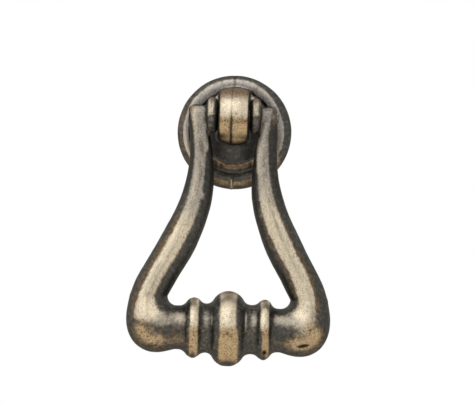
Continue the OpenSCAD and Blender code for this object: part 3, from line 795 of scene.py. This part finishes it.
class Look(Nodes):
    """A material."""

    def __init__(self, name):
        self.material = bpy.data.materials.new(name)
        self.material.use_nodes = True
        super().__init__(self.material.node_tree)
        self.shader = self.nodes["Principled BSDF"].inputs
        self.place = self.new("TexCoord").outputs["Object"]

    def ramp(self, value, low, high):
        """0 below low, 1 above high, smooth between; the other way round if low is greater."""
        node = self.new("MapRange", interpolation_type="SMOOTHSTEP")
        if low > high:
            low, high = high, low
            node.inputs["To Min"].default_value = 1.0
            node.inputs["To Max"].default_value = 0.0
        self.put(node.inputs["Value"], value)
        self.put(node.inputs["From Min"], low)
        self.put(node.inputs["From Max"], high)
        return node.outputs[0]

    def noise(self, size, detail, rough, squeeze=None):
        """Noise from 0 to 1 with grains about size wide, in millimetres."""
        place = self.place
        if squeeze:
            scale = self.new("VectorMath", operation="MULTIPLY")
            self.put(scale.inputs[0], place)
            self.put(scale.inputs[1], squeeze)
            place = scale.outputs[0]
        node = self.new("TexNoise")
        self.put(node.inputs["Vector"], place)
        self.put(node.inputs["Scale"], 1 / (size * MM))
        self.put(node.inputs["Detail"], detail)
        self.put(node.inputs["Roughness"], rough)
        return node.outputs["Fac"]

    def sway(self, noise, amount):
        """Noise moved down to lie round 0, times amount."""
        return self.times(self.add(noise, -0.5), amount)

    def value(self, name):
        return self.new("Attribute", attribute_name=name).outputs["Fac"]

    def mix(self, share, a, b):
        node = self.new("Mix", data_type="RGBA")
        sockets = {s.identifier: s for s in node.inputs}
        self.put(sockets["Factor_Float"], share)
        self.put(sockets["A_Color"], a)
        self.put(sockets["B_Color"], b)
        return next(s for s in node.outputs if s.identifier == "Result_Color")

    def bump(self, height, strength, distance):
        node = self.new("Bump")
        self.put(node.inputs["Height"], height)
        self.put(node.inputs["Strength"], strength)
        self.put(node.inputs["Distance"], distance * MM)
        return node.outputs["Normal"]


def colour(r, g, b):
    """A colour given as it shows on a screen, from 0 to 255 and not near black."""
    return tuple(((v / 255 + 0.055) / 1.055) ** 2.4 for v in (r, g, b)) + (1.0,)


def shade(c, factor):
    return tuple(v * factor for v in c[:3]) + (1.0,)


CREAM = colour(234, 221, 195)
RING_GREY = colour(208, 204, 197)
BAIL_GREY = colour(166, 161, 152)
PALE = colour(246, 236, 214)
REFLECTED_TAN = colour(207, 178, 134)
BROWN = colour(118, 94, 68)
GOLD_BROWN = colour(116, 93, 66)
DARK_BROWN = colour(70, 56, 40)
GUNMETAL = colour(86, 85, 81)
SOOT = colour(38, 33, 28)
STEEL, DULL_STEEL = colour(150, 146, 138), colour(98, 90, 80)


def antique_brass(name, grey_metal):
    look = Look(name)
    coarse = look.noise(3.0, 4.0, 0.6)
    fine = look.noise(0.75, 3.0, 0.65)
    speck = look.noise(0.33, 2.0, 0.7)
    grain = look.noise(0.2, 1.0, 0.5)
    drawn = look.noise(0.30, 3.0, 0.6, squeeze=(1.0, 1.0, 0.18))

    # bare metal where it was polished, and painted highlights, with an uneven border; dark patina
    # elsewhere
    border = look.add(look.sway(coarse, 0.5), look.sway(fine, 0.9))
    border = look.add(border, look.sway(speck, 0.5))
    open_face = look.add(look.value("bare_and_highlight"), border)
    polished_and_lit = look.ramp(open_face, 0.05, 0.95)
    fringe_and_lit_edge = look.times(look.ramp(open_face, 0.02, 0.18), look.ramp(open_face, 0.75, 0.35))
    fringe_and_lit_edge = look.times(fringe_and_lit_edge, look.times(look.value("fringe_and_lit_edge"), 0.95))

    # greyer or creamier metal; undersides tan with dark freckles, a painted reflection; some
    # places brown, partly painted shade
    tone = look.add(look.value("grey"), look.sway(coarse, 0.5), clamp=True)
    ragged = look.add(look.sway(fine, 1.5), look.sway(coarse, 0.8))
    reflected_underside = look.ramp(look.add(look.value("reflected_underside"), ragged), 0.1, 0.9)
    brown_and_shading = look.ramp(look.add(look.value("brown_and_shading"), look.sway(fine, 0.4)), 0.10, 1.0)
    freckle = look.times(look.ramp(speck, 0.54, 0.65), look.value("freckle"))
    bright = look.mix(tone, CREAM, grey_metal)
    for share, layer in (
            (reflected_underside, REFLECTED_TAN), (brown_and_shading, BROWN), (freckle, DARK_BROWN),
            # the dark layer: painted dark reflections on the bail, the seam and pits on the
            # rosette
            (look.value("seam_and_dark_reflection"), DARK_BROWN),
            (look.times(look.ramp(grain, 0.45, 0.75), 0.45), BROWN),
            (look.times(look.ramp(drawn, 0.52, 0.70), 0.30), BROWN),
            (look.times(look.ramp(grain, 0.50, 0.28), 0.35), PALE)):
        bright = look.mix(share, bright, layer)
    patina = look.mix(look.ramp(fine, 0.35, 0.75), shade(GUNMETAL, 0.80), shade(GUNMETAL, 1.30))
    whole = look.mix(polished_and_lit, patina, bright)
    whole = look.mix(look.value("hole"), whole, SOOT)
    # a golden brown fringe at the border, partly painted light on lit edges
    whole = look.mix(look.times(fringe_and_lit_edge, look.ramp(speck, 0.34, 0.56)), whole, GOLD_BROWN)

    greyed = look.times(look.times(polished_and_lit, look.value("grey")), -0.6)
    rough = look.add(look.times(polished_and_lit, -0.08), look.times(fine, 0.12))
    height = look.add(look.times(speck, 0.35), look.times(grain, 0.15))
    height = look.add(look.times(fine, 0.5), height)
    look.put(look.shader["Base Color"], whole)
    look.put(look.shader["Metallic"], look.add(greyed, 1.0))
    look.put(look.shader["Specular Tint"], (0.55, 0.53, 0.50, 1.0))
    look.put(look.shader["Roughness"], look.add(rough, 0.38, clamp=True))
    look.put(look.shader["Normal"], look.bump(height, 0.45, 0.07))
    return look.material


def pin_steel():
    look = Look("pin_steel")
    grain = look.noise(0.4, 3.0, 0.6, squeeze=(0.15, 1.0, 1.0))
    spots = look.noise(0.9, 3.0, 0.6)
    look.put(look.shader["Base Color"], look.mix(look.ramp(spots, 0.4, 0.7), STEEL, DULL_STEEL))
    look.put(look.shader["Metallic"], 1.0)
    look.put(look.shader["Roughness"], look.add(look.times(grain, 0.2), 0.3))
    look.put(look.shader["Normal"], look.bump(grain, 0.3, 0.02))
    return look.material


# ---------------------------------------------------------------- the pieces
points, quads = surface(rosette_shape, rosette_detail, ROSETTE_SPAN, ROSETTE_CELL)
rosette = new_piece("rosette_casting", points, quads, "rosette", ["rosette"],
                    rosette_looks(points, unit_slope(rosette_shape, points)))
rosette.data.materials.append(antique_brass("antique_brass", RING_GREY))

points, quads = surface(bail_shape, bail_detail, BAIL_SPAN, BAIL_CELL)
bail = new_piece("bail_casting", points, quads, "bail", ["bail"],
                 bail_looks(points, unit_slope(bail_shape, points)))
bail.data.materials.append(antique_brass("antique_brass_bail", BAIL_GREY))

pin = frame["nodes"]["pivot_pin"]
pin.data.materials.clear()
pin.data.materials.append(pin_steel())

# ---------------------------------------------------------------- floor, light and camera
FLOOR_Z, FLOOR_R, FLOOR_COLOUR = -0.16, 1.2, (0.80, 0.78, 0.75, 1)
bpy.ops.mesh.primitive_circle_add(
    vertices=96, radius=FLOOR_R, fill_type="NGON", location=(0, 0, FLOOR_Z))
floor = bpy.context.object
floor.name = "floor"
floor_look = Look("floor_pale")
floor_look.put(floor_look.shader["Base Color"], FLOOR_COLOUR)
floor_look.put(floor_look.shader["Roughness"], 0.9)
floor.data.materials.append(floor_look.material)

world = bpy.data.worlds.new("studio")
bpy.context.scene.world = world
world.use_nodes = True
world.node_tree.nodes.clear()
room = Nodes(world.node_tree)


def background(tint, strength):
    node = room.new("Background")
    room.put(node.inputs["Color"], tint)
    room.put(node.inputs["Strength"], strength)
    return node.outputs[0]


# The room fades to the right and downwards; the background behind the object is white
ROOM_TINT, ROOM_LEVEL, TO_RIGHT, UPWARDS = (1.0, 0.985, 0.965, 1), 0.74, -0.15, 0.20
ROOM_LEAST, ROOM_MOST = 0.25, 0.95
path = room.new("LightPath").outputs
direction = room.new("SeparateXYZ")
room.put(direction.inputs[0], room.new("TexCoord").outputs["Generated"])
level = room.add(room.times(direction.outputs["X"], TO_RIGHT), ROOM_LEVEL)
level = room.add(level, room.times(direction.outputs["Z"], UPWARDS))
level = room.math("MINIMUM", room.math("MAXIMUM", level, ROOM_LEAST), ROOM_MOST)
behind = room.times(room.add(direction.outputs["Y"], -0.5), 4.0, clamp=True)
seen = room.times(room.add(path["Is Glossy Ray"], path["Is Transmission Ray"]), behind)
seen = room.math("MAXIMUM", path["Is Camera Ray"], seen)
pick = room.new("MixShader")
room.put(pick.inputs[0], seen)
room.put(pick.inputs[1], background(ROOM_TINT, level))
room.put(pick.inputs[2], background((1, 1, 1, 1), 1.0))
room.put(room.new("OutputWorld").inputs["Surface"], pick.outputs[0])

LIT_POINT = Vector((0, 0, -0.02))


def panel(name, place, size, power):
    """A soft panel that faces the object."""
    data = bpy.data.lights.new(name, "AREA")
    data.shape = "RECTANGLE"
    data.size, data.size_y = size
    data.energy = power
    lamp = bpy.data.objects.new(name, data)
    lamp.location = place
    lamp.rotation_euler = (LIT_POINT - Vector(place)).to_track_quat("-Z", "Y").to_euler()
    bpy.context.scene.collection.objects.link(lamp)


panel("key_panel", (-0.40, -0.95, 1.00), (1.6, 1.4), 4.0)
panel("fill_panel", (0.9, -0.9, 0.35), (0.6, 0.6), 0.3)

# The camera sees a frame FRAME_W wide at the point it aims at, and rolls with the photograph
CAMERA_DISTANCE, FRAME_W, SENSOR_W = 1.6, 0.1045, 36
AIM = Vector((0.00110, -PIVOT_OUT * MM, -0.01538))
YAW, ROLL = math.radians(0.3), math.radians(1.9)
data = bpy.data.cameras.new("camera")
data.sensor_width = SENSOR_W
data.sensor_fit = "HORIZONTAL"
data.lens = SENSOR_W * CAMERA_DISTANCE / FRAME_W
data.clip_start = 0.05
camera = bpy.data.objects.new("camera", data)
camera.matrix_world = (Matrix.Translation(AIM) @ Matrix.Rotation(YAW, 4, "Z")
                       @ Matrix.Translation((0, -CAMERA_DISTANCE, 0))
                       @ Matrix.Rotation(math.pi / 2, 4, "X") @ Matrix.Rotation(ROLL, 4, "Z"))
bpy.context.scene.collection.objects.link(camera)
bpy.context.scene.camera = camera

bpy.context.scene.view_settings.view_transform = "Standard"
